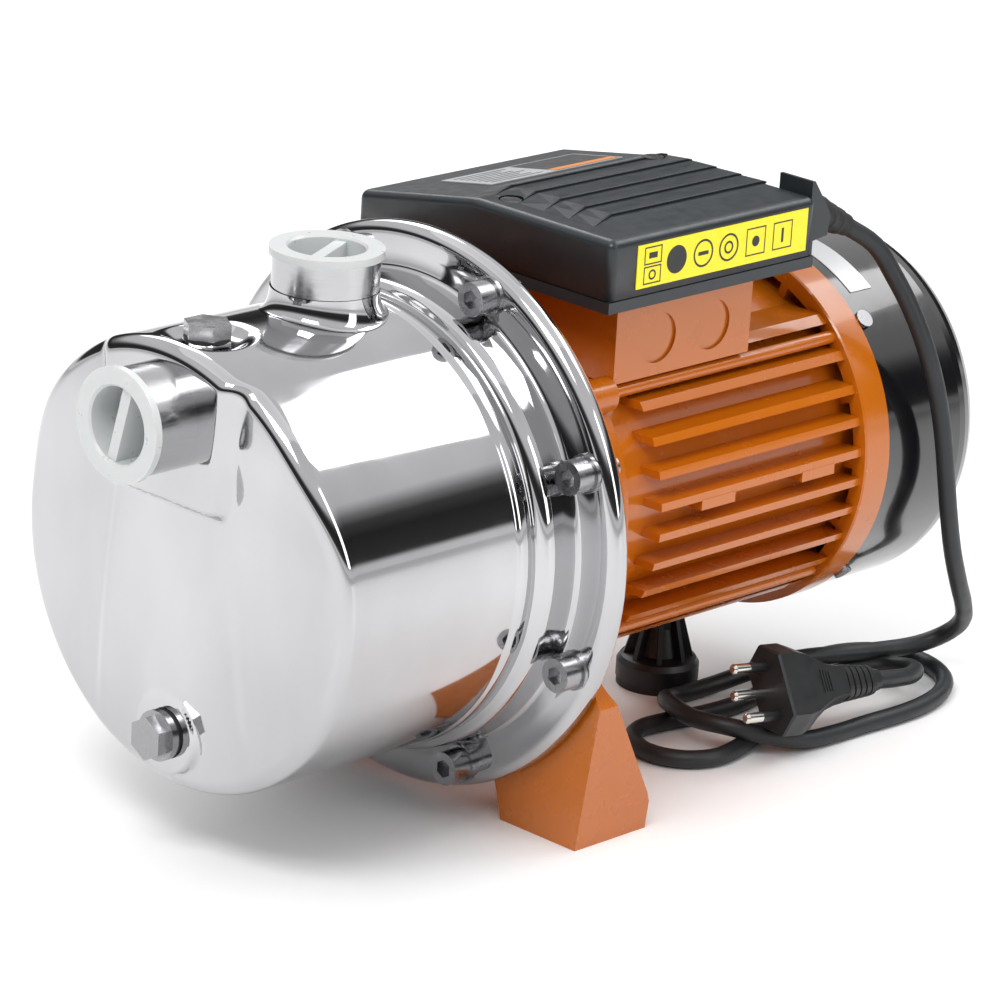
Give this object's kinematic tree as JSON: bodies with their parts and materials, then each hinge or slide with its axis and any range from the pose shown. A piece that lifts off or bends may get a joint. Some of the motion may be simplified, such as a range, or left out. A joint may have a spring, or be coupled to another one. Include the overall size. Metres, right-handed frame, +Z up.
{
  "type": "shallow well jet pump",
  "caption": "Self-priming shallow well jet pump: polished steel pump body bolted to a finned electric motor with a terminal box, feet and mains cord.",
  "frame": {"origin": "on the floor, midway along the pump and under its shaft axis", "axes": "+X from the suction port to the fan cover along the shaft, +Z up"},
  "size_m": [0.4003, 0.208, 0.2215],
  "materials": {
    "polished_steel": "mirror polished stainless steel",
    "brushed_steel": "brushed stainless steel",
    "machined_steel": "machined and zinc plated steel",
    "electrical_steel": "stacked electrical steel sheets",
    "bearing_steel": "ground bearing steel",
    "orange_paint": "glossy orange paint on cast aluminium",
    "cast_orange": "glossy orange paint on cast aluminium",
    "black_paint": "glossy black paint on pressed steel",
    "milky_plastic": "translucent milky polyethylene",
    "charcoal_plastic": "satin charcoal plastic",
    "black_plastic": "satin black plastic",
    "noryl_plastic": "moulded glass filled plastic",
    "white_plastic": "white plastic",
    "black_rubber": "matte black rubber",
    "cord_rubber": "matte black cord sheath",
    "brass": "bare brass",
    "nickel_brass": "nickel plated brass",
    "carbon": "carbon face in a steel cage",
    "ceramic": "ground ceramic",
    "copper_winding": "varnished copper winding",
    "yellow_label": "plain yellow label",
    "silver_label": "plain silver label"
  },
  "bodies": {
    "pump": {"pump_casing": "polished_steel", "suction_socket": "brushed_steel", "discharge_socket": "brushed_steel", "discharge_saddle": "polished_steel", "suction_chamber": "noryl_plastic", "ejector_nozzle": "brass", "ejector_venturi": "noryl_plastic", "diffuser": "noryl_plastic", "diffuser_seal_ring": "black_rubber", "seal_seat": "ceramic", "seal_plate": "brushed_steel", "casing_o_ring": "black_rubber", "casing_bolts": "machined_steel", "casing_bolt_washers": "machined_steel", "motor_bracket": "cast_orange", "motor_frame": "orange_paint", "tie_rods": "orange_paint", "front_bearing": "bearing_steel", "rear_bearing": "bearing_steel", "stator_core": "electrical_steel", "stator_winding": "copper_winding", "rear_shield": "orange_paint", "fan_cover": "black_paint", "fan_cover_screws": "machined_steel", "fan_cover_label": "silver_label", "motor_foot": "black_plastic", "motor_foot_pad": "black_rubber", "motor_foot_screw": "machined_steel", "terminal_base": "charcoal_plastic", "terminal_gasket": "black_rubber", "capacitor": "white_plastic", "terminal_block": "white_plastic", "cable_clamp": "charcoal_plastic", "cord_strain_relief": "black_rubber", "power_cord": "cord_rubber", "plug_body": "black_plastic", "plug_pins": "nickel_brass"},
    "rotor": {"shaft": "machined_steel", "rotor_core": "electrical_steel", "impeller": "brass", "impeller_nut": "machined_steel", "seal_rotating": "carbon", "seal_bellows": "black_rubber", "water_slinger": "black_rubber", "cooling_fan": "black_plastic", "fan_clip": "machined_steel"},
    "suction_cap": {"suction_cap": "milky_plastic"},
    "discharge_cap": {"discharge_cap": "milky_plastic"},
    "priming_washer": {"priming_washer": "black_rubber"},
    "priming_plug": {"priming_plug": "machined_steel"},
    "drain_washer": {"drain_washer": "black_rubber"},
    "drain_plug": {"drain_plug": "machined_steel"},
    "terminal_cover": {"terminal_cover": "charcoal_plastic", "cover_screws": "machined_steel", "safety_label": "yellow_label", "rating_label": "silver_label"}
  },
  "joints": [
    {"name": "rotor_spin", "type": "hinge", "parent": "pump", "child": "rotor", "pos_m": [0, 0, 0.108], "axis": [1, 0, 0], "continuous": true},
    {"name": "suction_cap_pull", "type": "slide", "parent": "pump", "child": "suction_cap", "axis": [-1, 0, 0], "range_m": [0, 0.08]},
    {"name": "discharge_cap_pull", "type": "slide", "parent": "pump", "child": "discharge_cap", "axis": [0, 0, 1], "range_m": [0, 0.08]},
    {"name": "priming_plug_lift", "type": "slide", "parent": "pump", "child": "priming_washer", "axis": [0, 0, 1], "range_m": [0, 0.014]},
    {"name": "priming_plug_turn", "type": "hinge", "parent": "priming_washer", "child": "priming_plug", "pos_m": [-0.1528, 0, 0.1884], "axis": [0, 0, 1], "range_deg": [0, 3769.6]},
    {"name": "drain_plug_out", "type": "slide", "parent": "pump", "child": "drain_washer", "axis": [-1, 0, 0], "range_m": [0, 0.014]},
    {"name": "drain_plug_turn", "type": "hinge", "parent": "drain_washer", "child": "drain_plug", "pos_m": [-0.166, 0, 0.0468], "axis": [-1, 0, 0], "range_deg": [0, 3769.6]},
    {"name": "cover_lift", "type": "slide", "parent": "pump", "child": "terminal_cover", "axis": [0, 0, 1], "range_m": [0, 0.06]}
  ],
  "couplings": [
    {"joint": "priming_plug_turn", "follows": "priming_plug_lift", "rad_per_m": 4699.5},
    {"joint": "drain_plug_turn", "follows": "drain_plug_out", "rad_per_m": 4699.5}
  ]
}
